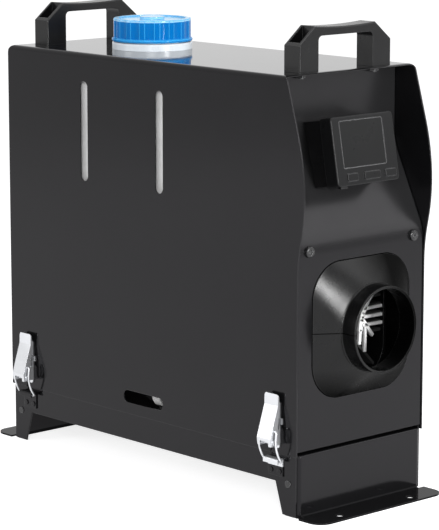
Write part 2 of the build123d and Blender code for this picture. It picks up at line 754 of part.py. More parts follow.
def make_cap():
    roof = neck_top + 0.2 + seal_thickness
    with BuildPart() as cap:
        with BuildSketch(Plane.XY.offset(cap_bottom)):
            with Locations((neck_x, 0)):
                Circle(cap_r)
                flute_middle = cap_r + cap_flute_r - cap_flute_depth
                with PolarLocations(flute_middle, cap_flutes):
                    Circle(cap_flute_r, mode=Mode.SUBTRACT)
        extrude(amount=cap_height)
        fillet(cap.edges().group_by(Axis.Z)[-1], 0.6)
        with Locations((neck_x, 0, cap_bottom)):
            Cylinder(cap_skirt_r, cap_skirt, align=(Align.CENTER, Align.CENTER, Align.MIN))
        fillet(cap.edges().filter_by(GeomType.CIRCLE).filter_by(
            lambda e: abs(e.radius - cap_skirt_r) < 0.01), 0.9)
        with Locations((neck_x, 0, cap_top)):
            Cylinder(cap_r - 4.5, 2.4, align=(Align.CENTER, Align.CENTER, Align.CENTER), mode=Mode.SUBTRACT)
            Cylinder(11, 2.4, align=(Align.CENTER, Align.CENTER, Align.CENTER))
        with Locations((neck_x, 0, cap_bottom)):
            Cylinder(cap_r - cap_wall, roof - cap_bottom, align=(Align.CENTER, Align.CENTER, Align.MIN),
                     mode=Mode.SUBTRACT)
    save(cap.part, "filler_cap")


# ---------------------------------------------------------------- latches
def latch_profile(x, way, offset=0.0):
    """Plane of a latch seen end on: X is outwards from the case's side, Y is up."""
    return Plane(origin=(x + way * offset, way * side, 0), x_dir=(0, way, 0), z_dir=(way, 0, 0))


def latch_front(x, way):
    """Plane of the case's side at a latch, facing outwards, Y up."""
    return Plane(origin=(x, way * side, 0), x_dir=(-way, 0, 0), z_dir=(0, way, 0))


def bail_line():
    """Points of the wire's arm in profile, from its pivot to the middle of its cross bar."""
    lean = radians(bail_lean)
    first = (sin(lean), -cos(lean))
    start = (bail_pivot[0] + bail_corner * first[0], bail_pivot[1] + bail_corner * first[1])
    chord = (bail_end[0] - start[0], bail_end[1] - start[1])
    length = sqrt(chord[0] ** 2 + chord[1] ** 2)
    along = (chord[0] * first[0] + chord[1] * first[1]) / length ** 2
    last = (2 * along * chord[0] - first[0], 2 * along * chord[1] - first[1])
    bar = (bail_end[0] + bail_corner * last[0], bail_end[1] + bail_corner * last[1])
    return first, start, last, bar


def latch_places():
    return [(x, way) for x in (-latch_x, latch_x) for way in (-1, 1)]


def make_brackets():
    """Plates riveted to the cover, each with two ears for its lever's pivot."""
    with BuildPart() as brackets:
        for x, way in latch_places():
            with BuildSketch(latch_front(x, way)):
                with Locations((0, (bracket_low + bracket_high) / 2)):
                    RectangleRounded(bracket_width, bracket_high - bracket_low, 2)
                with Locations((0, bracket_rivets[0])):
                    Rectangle(bracket_tab, bracket_tab_height)
                with Locations(*[(0, z) for z in bracket_rivets]):
                    Circle(rivet_r, mode=Mode.SUBTRACT)
            extrude(amount=latch_sheet)
            for edge in (1, -1):
                with BuildSketch(latch_profile(x, way, edge * bracket_width / 2)):
                    with BuildLine():
                        foot = (0, bracket_low + 3)
                        ear = Line(foot, (lever_pivot[0], lever_pivot[1] - ear_r))
                        nose = TangentArc(ear @ 1, (lever_pivot[0], lever_pivot[1] + ear_r), tangent=(1, 0))
                        Polyline(nose @ 1, (latch_sheet + 1, ear_top), (0, ear_top), foot)
                    make_face()
                    with Locations(lever_pivot):
                        Circle(pivot_pin_r, mode=Mode.SUBTRACT)
                extrude(amount=-edge * latch_sheet)
    save(brackets.part, "latch_brackets")


def make_lever(x, way, name):
    """Channel-shaped lever: a broad front, two side cheeks, and a notch between its lower ears."""
    tip, shoulder, heel = (lever_tip_out, lever_tip), lever_shoulder, lever_heel
    with BuildPart() as lever:
        with BuildSketch(latch_profile(x, way)):
            with BuildLine():
                Polyline(tip, shoulder, heel, *lever_cheek, (tip[0] - lever_sheet, tip[1] - lever_sheet),
                         close=True)
            make_face()
        extrude(amount=lever_width / 2, both=True)
        with BuildSketch(latch_profile(x, way)):
            with BuildLine():
                Polyline((tip[0] - lever_sheet, tip[1] + lever_sheet), (shoulder[0] - lever_sheet, shoulder[1]),
                         (heel[0] - lever_sheet, heel[1]), (heel[0] - lever_sheet, bracket_low),
                         (-side, bracket_low), (-side, tip[1] + lever_sheet), close=True)
            make_face()
        extrude(amount=lever_width / 2 - lever_sheet, both=True, mode=Mode.SUBTRACT)
        with BuildSketch(latch_front(x, way)) as face:
            Rectangle(3 * lever_width, 3 * lever_tip)
            with Locations((0, (lever_tip + lever_low) / 2)):
                RectangleRounded(lever_width, lever_tip - lever_low + lever_sheet, lever_round, mode=Mode.SUBTRACT)
            with Locations((0, lever_notch[1])):
                Rectangle(lever_notch[0], 2 * (lever_notch[1] - lever_low), align=(Align.CENTER, Align.MAX))
        extrude(amount=lever_tip, mode=Mode.SUBTRACT)
        with BuildSketch(latch_profile(x, way)):
            with Locations(lever_pivot):
                Circle(pivot_pin_r + pivot_play)
            with Locations(bail_pivot):
                Circle(bail_wire_r + pivot_play)
        extrude(amount=lever_width, both=True, mode=Mode.SUBTRACT)
    save(lever.part, name)


def make_bail(x, way, name):
    """Bowed wire: its ends turn into the lever's cheeks and its cross bar sits in the keeper."""
    first, start, last, bar = bail_line()

    def at(along, point):
        return Vector(x + along, way * (side + point[0]), point[1])

    reach = bail_half_span - bail_corner
    with BuildPart() as bail:
        with BuildLine() as route:
            for end in (1, -1):
                corner = at(end * bail_half_span, start)
                stub = Line(at(end * bail_stub, bail_pivot), at(end * reach, bail_pivot))
                TangentArc(stub @ 1, corner, tangent=(end, 0, 0))
                arm = TangentArc(corner, at(end * bail_half_span, bail_end), tangent=(0, way * first[0], first[1]))
                TangentArc(arm @ 1, at(end * reach, bar), tangent=(0, way * last[0], last[1]))
            Line(at(-reach, bar), at(reach, bar))
        with BuildSketch(Plane(origin=at(bail_stub, bail_pivot), z_dir=(1, 0, 0))):
            Circle(bail_wire_r)
        sweep(path=route.wires()[0])
    save(bail.part, name)


def make_keepers():
    """Plates riveted to the tray, each with a hook over its wire."""
    bar = bail_line()[3]
    plate = base_side - side
    inside = bar[0] + bail_wire_r + keeper_reach
    outside = inside + latch_sheet
    top = bar[1] + bail_wire_r + keeper_gap + latch_sheet
    roof = top - latch_sheet
    with BuildPart() as keepers:
        for x, way in latch_places():
            with BuildSketch(latch_profile(x, way)) as hook:
                with BuildLine():
                    Polyline((plate, keeper_low), (plate + latch_sheet, keeper_low), (plate + latch_sheet, roof),
                             (inside, roof), (inside, top - keeper_lip), (outside, top - keeper_lip),
                             (outside, top), (plate, top), close=True)
                make_face()
                fillet(hook.vertices().filter_by(lambda v: v.Y > top - 0.01), latch_sheet)
            extrude(amount=keeper_width / 2, both=True)
            with BuildSketch(latch_front(x, way)):
                with Locations(*[(dx, keeper_rivet_z) for dx in (-keeper_rivet_x, keeper_rivet_x)]):
                    Circle(rivet_r)
            extrude(amount=-2 * latch_sheet, both=True, mode=Mode.SUBTRACT)
    save(keepers.part, "latch_keepers")


def make_latch_rivets():
    """Rivets of the brackets and keepers, and the levers' pivots."""
    length = lever_width + 2 * (pivot_head + pivot_side_gap)
    with BuildPart() as rivets:
        for x, way in latch_places():
            turn = "+Y" if way > 0 else "-Y"
            spots = [(x, z, side, cover_sheet) for z in bracket_rivets]
            spots += [(x + dx, keeper_rivet_z, base_side, base_sheet) for dx in (-keeper_rivet_x, keeper_rivet_x)]
            for px, z, wall, sheet in spots:
                with Locations(facing(turn, px, way * (wall + latch_sheet), z)):
                    Cylinder(rivet_head_r, rivet_head, align=(Align.CENTER, Align.CENTER, Align.MIN))
                    Cylinder(rivet_r, sheet + latch_sheet, align=(Align.CENTER, Align.CENTER, Align.MAX))
                with Locations(facing(turn, px, way * (wall - sheet), z)):
                    Cylinder(rivet_head_r - 0.3, rivet_head, align=(Align.CENTER, Align.CENTER, Align.MAX))
            with BuildSketch(latch_profile(x, way, -length / 2)):
                with Locations(lever_pivot):
                    Circle(pivot_pin_r)
            extrude(amount=length)
            for edge in (1, -1):
                with BuildSketch(latch_profile(x, way, edge * length / 2)):
                    with Locations(lever_pivot):
                        Circle(pivot_head_r)
                extrude(amount=-edge * pivot_head)
    save(rivets.part, "latch_rivets")


# ---------------------------------------------------------------- controller
def controller_plane(depth=0.0):
    """Plane of the controller's face, or one that far behind it: X across, Y up its slope."""
    tilt = radians(controller_tilt)
    normal = (cos(tilt), 0, sin(tilt))
    return Plane(origin=(controller_x, 0, controller_z), x_dir=(0, 1, 0), z_dir=normal).offset(-depth)


def make_controller_housing():
    depth = controller_depth - controller_wall
    with BuildPart() as housing:
        with BuildSketch(controller_plane(controller_depth)):
            RectangleRounded(controller_width, controller_height, controller_corner)
        extrude(amount=controller_depth)
        fillet(housing.faces().sort_by(Axis.X)[-1].edges(), 1.2)
        with BuildSketch(controller_plane(controller_depth)):
            RectangleRounded(controller_width - 2 * controller_wall, controller_height - 2 * controller_wall,
                             controller_corner - controller_wall)
        extrude(amount=depth, mode=Mode.SUBTRACT)
        with BuildSketch(controller_plane(lens_thickness)):
            with Locations(lens_offset):
                RectangleRounded(lens_width, lens_height, 1.5)
        extrude(amount=lens_thickness, mode=Mode.SUBTRACT)
        with BuildSketch(controller_plane(controller_wall)):
            with Locations(lens_offset):
                Rectangle(lens_width - 6, lens_height - 6)
            for middle, width in button_spots:
                with Locations((middle, button_row)):
                    RectangleRounded(width + 2 * button_gap, button_height + 2 * button_gap, 1.6)
        extrude(amount=controller_wall, mode=Mode.SUBTRACT)
    save(housing.part, "controller_housing")


def make_controller_lens():
    with BuildPart() as lens:
        with BuildSketch(controller_plane(lens_thickness)):
            with Locations(lens_offset):
                RectangleRounded(lens_width - 0.2, lens_height - 0.2, 1.4)
        extrude(amount=lens_thickness - 0.2)
    save(lens.part, "controller_lens")


def make_controller_board():
    """Circuit board with the display on its front, behind the keys."""
    board_depth = controller_depth - board_thickness
    with BuildPart() as board:
        with BuildSketch(controller_plane(controller_depth)):
            RectangleRounded(controller_width - 2 * controller_wall - 0.4,
                             controller_height - 2 * controller_wall - 0.4, controller_corner - controller_wall)
        extrude(amount=board_thickness)
        with BuildSketch(controller_plane(board_depth)):
            with Locations(lens_offset):
                Rectangle(lens_width - 4, lens_height - 4)
        extrude(amount=board_depth - controller_wall - 0.3)
    save(board.part, "controller_board")


def make_buttons():
    for (middle, width), name in zip(button_spots, ("left_button", "middle_button", "right_button")):
        with BuildPart() as button:
            with BuildSketch(controller_plane(controller_wall + 0.1)):
                with Locations((middle, button_row)):
                    RectangleRounded(width, button_height, 1.4)
            extrude(amount=controller_wall + 0.1 + button_proud)
            fillet(button.faces().sort_by(Axis.X)[-1].edges(), 0.4)
            with BuildSketch(controller_plane(controller_wall + 0.1 + button_flange)):
                with Locations((middle, button_row)):
                    Rectangle(width + 1.6, button_height + 1.6)
            extrude(amount=button_flange)
            with BuildSketch(controller_plane(controller_wall + 0.1 + button_flange + button_stem)):
                with Locations((middle, button_row)):
                    Circle(1.5)
            extrude(amount=button_stem)
        save(button.part, name)


def make_controller_holder():
    """Shell that carries the controller on the hollow of the front panel."""
    half = controller_width / 2 - holder_inset
    reach = controller_height / 2 - holder_inset
    top = controller_plane(controller_depth).from_local_coords((0, reach, 0))
    foot = controller_plane(controller_depth).from_local_coords((0, -reach, 0))
    corners = ((top.X, top.Z), (foot.X, foot.Z), (panel_x(foot.Z - 3) + 0.15, foot.Z - 3),
               (panel_x(top.Z - 3) + 0.15, top.Z - 3))
    with BuildPart() as holder:
        with BuildSketch(Plane.XZ):
            Polygon(*corners, align=None)
        extrude(amount=half, both=True)
        offset(amount=-holder_wall, openings=holder.faces().sort_by(Axis.X)[-1])
        with Locations(facing("+X", recess_x + 4, 0, controller_z + 12)):
            Hole(4, depth=12)
        with BuildSketch(Plane(origin=(foot.X, 0, foot.Z - 1), z_dir=(0, 0, 1))):
            with Locations((-3, holder_tab[0])):
                Rectangle(4, holder_tab[1])
        extrude(amount=-holder_tab[2])
    save(holder.part, "controller_holder")


# ---------------------------------------------------------------- heater casing and outlet
def casing_section(half, corner, x):
    with BuildSketch(Plane.YZ.offset(x)) as section:
        with Locations((0, axis_z)):
            RectangleRounded(2 * half, 2 * half, corner)
    return section.sketch


def casing_holes():
    """Places and radii of the pipes that leave through the bottom of the casing."""
    return ((exhaust_x, exhaust_r), (intake_x, intake_r), (fuel_stub_x, fuel_stub_r))


def make_casing(upper, name):
    with BuildPart() as casing:
        length = case_front - case_rear
        extrude(casing_section(case_half, case_corner, case_rear), amount=length)
        extrude(casing_section(case_inner, case_inner_corner, case_rear), amount=length, mode=Mode.SUBTRACT)
        split(bisect_by=Plane.XY.offset(axis_z), keep=Keep.TOP if upper else Keep.BOTTOM)
        if upper:
            for edge in (-1, 1):
                with Locations((case_rear, edge * case_half, axis_z)):
                    Box(length - 20, 2.4, 5, align=(Align.MIN, Align.MIN if edge > 0 else Align.MAX, Align.MIN))
        else:
            for edge in (-1, 1):
                with Locations((case_rear, edge * case_half, axis_z)):
                    Box(length - 20, 2.4, 5, align=(Align.MIN, Align.MIN if edge > 0 else Align.MAX, Align.MAX))
            for x, radius in casing_holes():
                with Locations((x, 0, case_bottom + case_wall)):
                    Hole(radius + stub_hole_gap, depth=2 * case_wall)
            with Locations(*[(x, y, case_bottom + case_wall) for x, y in stand_bolts()]):
                Hole(screw_r + 0.05, depth=2 * case_wall)
    save(casing.part, name)


def shoulder_sections(inset):
    """The shoulder's square section on the casing and its round one at the nozzle."""
    root = nozzle_r + shoulder_ledge - inset
    return ((adaptor_half - inset, adaptor_corner - inset, front), (root, root - 0.02, shoulder_front - inset))


def make_outlet_adaptor():
    lap = front - adaptor_rear
    with BuildPart() as adaptor:
        extrude(casing_section(adaptor_half, adaptor_corner, adaptor_rear), amount=lap)
        loft([casing_section(*section) for section in shoulder_sections(0)])
        with BuildSketch(Plane.YZ.offset(front)):
            with Locations((0, axis_z)):
                Circle(nozzle_r)
        extrude(amount=nozzle_front - front)
        root = adaptor.edges().filter_by(GeomType.CIRCLE).filter_by(
            lambda e: abs(e.radius - nozzle_r) < 0.01 and abs(e.center().X - shoulder_front) < 0.5)
        fillet(root, 1.2)
        extrude(casing_section(adaptor_half - adaptor_wall, adaptor_corner - adaptor_wall, adaptor_rear),
                amount=lap, mode=Mode.SUBTRACT)
        loft([casing_section(*section) for section in shoulder_sections(adaptor_wall)], mode=Mode.SUBTRACT)
        with BuildSketch(Plane.YZ.offset(front)):
            with Locations((0, axis_z)):
                Circle(nozzle_r - nozzle_wall)
        extrude(amount=nozzle_front - front, mode=Mode.SUBTRACT)
        fillet(adaptor.edges().filter_by(GeomType.CIRCLE).group_by(Axis.X)[-1], 0.6)
    save(adaptor.part, "outlet_adaptor")


# ---------------------------------------------------------------- heat exchanger and burner
def along_axis(x):
    """Plane across the heater's axis at X."""
    return Plane(origin=(x, 0, axis_z), x_dir=(0, 1, 0), z_dir=(1, 0, 0))


def ring(x, length, outer, inner=0.0, mode=Mode.ADD):
    """Round bar or tube on the heater's axis, from X onwards."""
    with BuildSketch(along_axis(x)) as section:
        Circle(outer)
        if inner:
            Circle(inner, mode=Mode.SUBTRACT)
    extrude(section.sketch, amount=length, mode=mode)


def make_heat_exchanger():
    with BuildPart() as exchanger:
        for turn in (45, 135):
            with Locations(Location((fin_rear, 0, axis_z), (turn, 0, 0))):
                Box(fin_front - fin_rear, fin_thickness, 3 * case_half, align=(Align.MIN, Align.CENTER, Align.CENTER))
        for row in fin_rows:
            with Locations((fin_rear, 0, axis_z + row)):
                Box(fin_front - fin_rear, 2 * case_half, fin_thickness, align=(Align.MIN, Align.CENTER, Align.CENTER))
            with Locations((fin_rear, row, axis_z)):
                Box(fin_front - fin_rear, fin_thickness, 2 * case_half, align=(Align.MIN, Align.CENTER, Align.CENTER))
        extrude(casing_section(case_inner - fit_gap, case_inner_corner - fit_gap, fin_rear),
                amount=fin_front - fin_rear, mode=Mode.INTERSECT)
        with BuildSketch(Plane.XZ):
            with BuildLine():
                shell = Polyline((tube_rear, axis_z), (tube_rear, axis_z + tube_r),
                                 (tube_front - dome_r, axis_z + tube_r))
                dome = TangentArc(shell @ 1, (tube_front, axis_z + tube_r - dome_r), tangent=(1, 0))
                Polyline(dome @ 1, (tube_front, axis_z), shell @ 0)
            make_face()
        revolve(axis=Axis((0, 0, axis_z), (1, 0, 0)))
        ring(bulkhead_rear, bulkhead, housing_r)
        with Locations((exhaust_x, 0, axis_z)):
            Cylinder(exhaust_r, axis_z - stub_joint, align=(Align.CENTER, Align.CENTER, Align.MAX))
        ring(bulkhead_rear, tube_front - tube_wall - bulkhead_rear, tube_r - tube_wall, mode=Mode.SUBTRACT)
        with Locations((exhaust_x, 0, axis_z)):
            Cylinder(exhaust_r - stub_wall, axis_z - stub_joint, align=(Align.CENTER, Align.CENTER, Align.MAX),
                     mode=Mode.SUBTRACT)
        with Locations((fuel_stub_x, 0, axis_z)):
            Cylinder(fuel_stub_r, tube_r + 1, align=(Align.CENTER, Align.CENTER, Align.MAX), mode=Mode.SUBTRACT)
        with BuildSketch(plug_plane()):
            Circle(plug_r)
        extrude(amount=tube_r + 1, mode=Mode.SUBTRACT)
        with Locations(*[along_axis(bulkhead_rear) * Location(place) for place in housing_bolts()]):
            Hole(screw_r, depth=3 * bulkhead)
    save(exchanger.part, "heat_exchanger")


def plug_plane():
    """Plane through the heater's axis, facing out along the glow plug."""
    slope = radians(plug_angle)
    return Plane(origin=(plug_x, 0, axis_z), x_dir=(1, 0, 0), z_dir=(0, cos(slope), sin(slope)))


def make_burner_tube():
    bore = tube_r - tube_wall
    with BuildPart() as burner:
        ring(tube_rear, burner_length, burner_r, burner_r - 1.5)
        ring(tube_rear, 3, bore - 0.1, burner_r - 1.5)
        for x in burner_rows:
            for turn in range(8):
                with BuildSketch(Plane(origin=(x, 0, axis_z), x_dir=(1, 0, 0),
                                       z_dir=(0, cos(radians(45 * turn + 22.5)), sin(radians(45 * turn + 22.5))))):
                    Circle(2)
                extrude(amount=burner_r + 1, mode=Mode.SUBTRACT)
    save(burner.part, "burner_tube")


def make_glow_plug():
    with BuildPart() as plug:
        with BuildSketch(plug_plane().offset(burner_r + 1)):
            Circle(plug_r - 0.05)
        extrude(amount=tube_r - burner_r - 1)
        with BuildSketch(plug_plane().offset(tube_r)):
            RegularPolygon(plug_r + 2.5, 6)
        extrude(amount=5)
        with BuildSketch(plug_plane().offset(tube_r + 5)):
            Circle(2.2)
        extrude(amount=9)
    save(plug.part, "glow_plug")


def make_overheat_sensor():
    with BuildPart() as sensor:
        with Locations((fuel_stub_x, 0, axis_z + tube_r)):
            Box(9, 14, 1.6, align=(Align.CENTER, Align.CENTER, Align.MIN))
            Cylinder(4.5, 7, align=(Align.CENTER, Align.CENTER, Align.MIN))
    save(sensor.part, "overheat_sensor")


def make_fuel_inlet():
    with BuildPart() as inlet:
        with Locations((fuel_stub_x, 0, axis_z - burner_r - 1)):
            Cylinder(fuel_stub_r - 0.05, axis_z - burner_r - 1 - fuel_stub_end,
                     align=(Align.CENTER, Align.CENTER, Align.MAX))
            Hole(fuel_stub_r - 0.9)
    save(inlet.part, "fuel_inlet")


# ---------------------------------------------------------------- blower
def housing_bolts():
    place = 0.71 * (housing_r - 6)
    return [(y, z, 0) for y in (-place, place) for z in (-place, place)]


def make_blower_housing():
    """Drum of the combustion air wheel, held in the casing by four webs, with the air stub below."""
    length = bulkhead_rear - motor_front
    with BuildPart() as housing:
        with Locations(*[Location((motor_front, 0, axis_z), (turn, 0, 0)) for turn in (45, 135)]):
            Box(length, 3, 3 * case_half, align=(Align.MIN, Align.CENTER, Align.CENTER))
        extrude(casing_section(case_inner - fit_gap, case_inner_corner - fit_gap, motor_front), amount=length,
                mode=Mode.INTERSECT)
        ring(motor_front, length, housing_r)
        with Locations((intake_x, 0, axis_z)):
            Cylinder(intake_r, axis_z - stub_joint, align=(Align.CENTER, Align.CENTER, Align.MAX))
        ring(motor_front + housing_wall, length - 2 * housing_wall, housing_r - housing_wall, mode=Mode.SUBTRACT)
        ring(motor_front, length, shaft_r + 3, mode=Mode.SUBTRACT)
        with Locations((intake_x, 0, axis_z)):
            Cylinder(intake_r - stub_wall, axis_z - stub_joint, align=(Align.CENTER, Align.CENTER, Align.MAX),
                     mode=Mode.SUBTRACT)
    save(housing.part, "blower_housing")


def make_blower_motor():
    with BuildPart() as motor:
        ring(motor_rear, motor_front - motor_rear, motor_r)
        fillet(motor.edges().group_by(Axis.X)[0], 2)
        ring(motor_rear - 3, 3, 6)
        ring(motor_rear - 3, motor_front - motor_rear + 3, shaft_r + running_gap, mode=Mode.SUBTRACT)
    save(motor.part, "blower_motor")


def make_rotor():
    with BuildPart() as shaft:
        ring(fan_rear - 2, impeller_rear + 12 - fan_rear + 2, shaft_r)
    save(shaft.part, "blower_shaft")
    with BuildPart() as fan:
        blade_reach = fan_r - fan_hub_r + 4
        for turn in range(fan_blades):
            around = 360 * turn / fan_blades
            with Locations(Location((fan_rear + fan_width / 2, 0, axis_z), (around, 0, 0))
                           * Location((0, 0, fan_hub_r - 4), (0, 0, 90 - fan_pitch))):
                Box(2.0, fan_width / sin(radians(fan_pitch)) + 4, blade_reach,
                    align=(Align.CENTER, Align.CENTER, Align.MIN))
        ring(fan_rear, fan_width, fan_r, mode=Mode.INTERSECT)
        ring(fan_rear, fan_width, fan_hub_r - 2)
        ring(fan_rear + 2, fan_width - 2, fan_hub_r)
        ring(fan_rear, fan_width, shaft_r, mode=Mode.SUBTRACT)
    save(fan.part, "fan_wheel")
    with BuildPart() as impeller:
        ring(impeller_rear, 2, impeller_r)
        ring(impeller_rear, 10, shaft_r + 3)
        for turn in range(12):
            with Locations(Location((impeller_rear + 2, 0, axis_z), (30 * turn, 0, 0))
                           * Location((0, 0, 12), (25, 0, 0))):
                Box(8, 1.2, impeller_r - 13.5, align=(Align.MIN, Align.CENTER, Align.MIN))
        ring(impeller_rear, 10, shaft_r, mode=Mode.SUBTRACT)
    save(impeller.part, "combustion_impeller")


def make_control_unit():
    with BuildPart() as unit:
        with Locations((motor_rear + 2, 0, axis_z + case_inner - 0.1)):
            Box(42, 46, 22, align=(Align.MIN, Align.CENTER, Align.MAX))
        fillet(unit.edges().filter_by(Axis.Z), 3)
    save(unit.part, "control_unit")


def make_inlet_grille():
    with BuildPart() as grille:
        outer = rear_face - grille_thickness
        ring(outer, grille_thickness, grille_flange_r)
        ring(outer, case_rear - 1 - outer, grille_collar_r)
        ring(outer, case_rear - 1 - outer, grille_collar_r - 2, mode=Mode.SUBTRACT)
        for radius in grille_rings:
            ring(outer, grille_thickness, radius + grille_bar / 2, radius - grille_bar / 2)
        with BuildSketch(along_axis(outer)):
            with PolarLocations(grille_collar_r / 2, 8):
                Rectangle(grille_collar_r - 2, grille_bar)
        extrude(amount=grille_thickness)
        ring(outer, grille_thickness, grille_hub_r)
        fillet(grille.edges().filter_by(GeomType.CIRCLE).filter_by(
            lambda e: abs(e.radius - grille_flange_r) < 0.01).group_by(Axis.X)[0], 1)
    save(grille.part, "inlet_grille")


def make_cable_grommet():
    y, z = grommet_place
    with BuildPart() as grommet:
        with BuildSketch(Plane(facing("-X", rear_face, y, z)).offset(2)):
            Circle(grommet_r + 2.2)
        extrude(amount=-2)
        with BuildSketch(Plane(facing("-X", rear_face, y, z))):
            Circle(grommet_r - 0.05)
        extrude(amount=-cover_sheet)
        with BuildSketch(Plane(facing("-X", rear_face + cover_sheet, y, z))):
            Circle(grommet_r + 2.2)
        extrude(amount=-2)
        with Locations(facing("-X", rear_face - 2, y, z)):
            Hole(3.6, depth=12)
        fillet(grommet.edges().group_by(Axis.X)[0].sort_by(SortBy.RADIUS)[-1], 0.8)
    save(grommet.part, "cable_grommet")


# ---------------------------------------------------------------- heater stand and pipes
def stand_bolts():
    return [(x, y) for x in (stand_rear + stand_bolt_rear, stand_front - stand_bolt_front)
            for y in (-stand_bolt_side, stand_bolt_side)]


def make_stand():
    top = stand_top
    with BuildPart() as stand:
        with Locations((stand_rear, 0, tray_floor)):
            Box(stand_front - stand_rear, 2 * stand_half_width, top - tray_floor,
                align=(Align.MIN, Align.CENTER, Align.MIN))
        fillet(stand.edges().filter_by(Axis.X).group_by(Axis.Z)[-1], 3)
        with Locations((stand_rear, 0, tray_floor + base_sheet)):
            Box(stand_front - stand_rear, 2 * (stand_half_width - base_sheet), top - tray_floor - 2 * base_sheet,
                align=(Align.MIN, Align.CENTER, Align.MIN), mode=Mode.SUBTRACT)
        with Locations((stand_rear, 0, tray_floor)):
            Box(stand_front - stand_rear, 2 * (stand_half_width - stand_flange), 2 * base_sheet,
                align=(Align.MIN, Align.CENTER, Align.MIN), mode=Mode.SUBTRACT)
        for x, radius in casing_holes():
            with Locations((x, 0, top)):
                Hole(radius + stub_hole_gap, depth=2 * base_sheet)
        with Locations(*[(x, y, top) for x, y in stand_bolts()]):
            Hole(screw_r + 0.05, depth=2 * base_sheet)
        with Locations(facing("-Y", fuel_stub_x, -stand_half_width, pump_z)):
            Hole(hose_r + 2, depth=2 * base_sheet)
    save(stand.part, "heater_stand")


def make_gasket():
    with BuildPart() as gasket:
        with BuildSketch(Plane.XY.offset(stand_top)):
            with Locations(((stand_rear + stand_front) / 2, 0)):
                RectangleRounded(stand_front - stand_rear - 2, 2 * (case_half - case_corner), 4)
            for x, radius in casing_holes():
                with Locations((x, 0)):
                    Circle(radius + stub_hole_gap, mode=Mode.SUBTRACT)
            with Locations(*stand_bolts()):
                Circle(screw_r + 0.05, mode=Mode.SUBTRACT)
        extrude(amount=gasket_thickness)
    save(gasket.part, "heater_gasket")


def make_stand_bolts():
    """Bolts from inside the casing, with nuts under the stand."""
    with BuildPart() as bolts:
        with Locations(*[(x, y, case_bottom + case_wall) for x, y in stand_bolts()]):
            Cylinder(screw_head_r, 2, align=(Align.CENTER, Align.CENTER, Align.MIN))
            Cylinder(screw_r, case_wall + gasket_thickness + base_sheet + nut_height + 1.5,
                     align=(Align.CENTER, Align.CENTER, Align.MAX))
        with BuildSketch(*[Plane((x, y, stand_top - base_sheet)) for x, y in stand_bolts()]):
            RegularPolygon(nut_r, 6)
        extrude(amount=-nut_height)
    save(bolts.part, "stand_bolts")


def make_pipe(x, radius, name):
    """Pipe that slides over a stub under the heater and ends above the floor."""
    with BuildPart() as pipe:
        with Locations((x, 0, pipe_top)):
            Cylinder(radius + pipe_wall + pipe_step, pipe_top - stub_end - pipe_spigot,
                     align=(Align.CENTER, Align.CENTER, Align.MAX))
        with Locations((x, 0, stub_end)):
            Cylinder(radius + pipe_wall, pipe_spigot, align=(Align.CENTER, Align.CENTER, Align.MIN))
        with Locations((x, 0, pipe_top - pipe_clamp / 2)):
            Cylinder(radius + pipe_wall + 2 * pipe_step, pipe_clamp, align=(Align.CENTER, Align.CENTER, Align.MAX))
            Hole(radius + screw_gap)
    save(pipe.part, name)


# ---------------------------------------------------------------- fuel pump and hoses
def pump_plane(x):
    return Plane(origin=(x, pump_y, pump_z), x_dir=(0, 1, 0), z_dir=(1, 0, 0))


def pump_ring(x, length, outer, mode=Mode.ADD):
    with BuildSketch(pump_plane(x)) as section:
        Circle(outer)
    extrude(section.sketch, amount=length, mode=mode)


def make_pump():
    back = pump_front - pump_length
    with BuildPart() as pump:
        pump_ring(back, pump_length, pump_r - 2.5)
        pump_ring(back + 6, pump_length - 12, pump_r)
        pump_ring(back - spigot_length, pump_length + 2 * spigot_length, spigot_r)
        pump_ring(back - spigot_length, pump_length + 2 * spigot_length, spigot_r - 1.4, mode=Mode.SUBTRACT)
        pump_ring(plunger_rear() - plunger_stroke - 0.5, plunger_length + plunger_stroke + 1,
                  plunger_r + running_gap, mode=Mode.SUBTRACT)
        with Locations((pump_front - 18, pump_y, pump_z + pump_r - 0.6)):
            Box(12, 10, 7, align=(Align.CENTER, Align.CENTER, Align.MIN))
    save(pump.part, "fuel_pump")
    with BuildPart() as plunger:
        pump_ring(plunger_rear(), plunger_length, plunger_r)
        pump_ring(plunger_rear(), plunger_length, 1.2, mode=Mode.SUBTRACT)
    save(plunger.part, "pump_plunger")


def plunger_rear():
    return pump_front - pump_length / 2 - plunger_length / 2 + plunger_stroke / 2


def make_pump_mount():
    with BuildPart() as mount:
        middle = pump_front - pump_length / 2 - 4
        with BuildSketch(pump_plane(middle)):
            Circle(pump_r + 3)
            with Locations((0, (tray_floor - pump_z) / 2)):
                Rectangle(10, pump_z - tray_floor)
            Circle(pump_r + 0.1, mode=Mode.SUBTRACT)
        extrude(amount=5, both=True)
        with Locations((middle, pump_y, tray_floor)):
            Box(26, 16, 3, align=(Align.CENTER, Align.CENTER, Align.MIN))
    save(mount.part, "pump_mount")


def make_filter():
    with BuildPart() as fuel_filter:
        with Locations((fuel_outlet_x, fuel_outlet_y, filter_z)):
            Cylinder(filter_r, filter_length)
            Cylinder(spigot_r, filter_length + 2 * spigot_length)
        fillet(fuel_filter.edges().filter_by(GeomType.CIRCLE).filter_by(
            lambda e: abs(e.radius - filter_r) < 0.01), 2)
        with Locations((fuel_outlet_x, fuel_outlet_y, filter_z)):
            Cylinder(filter_r - 1.5, filter_length - 3, mode=Mode.SUBTRACT)
            Cylinder(spigot_r - 1.2, filter_length + 2 * spigot_length, mode=Mode.SUBTRACT)
    save(fuel_filter.part, "fuel_filter")


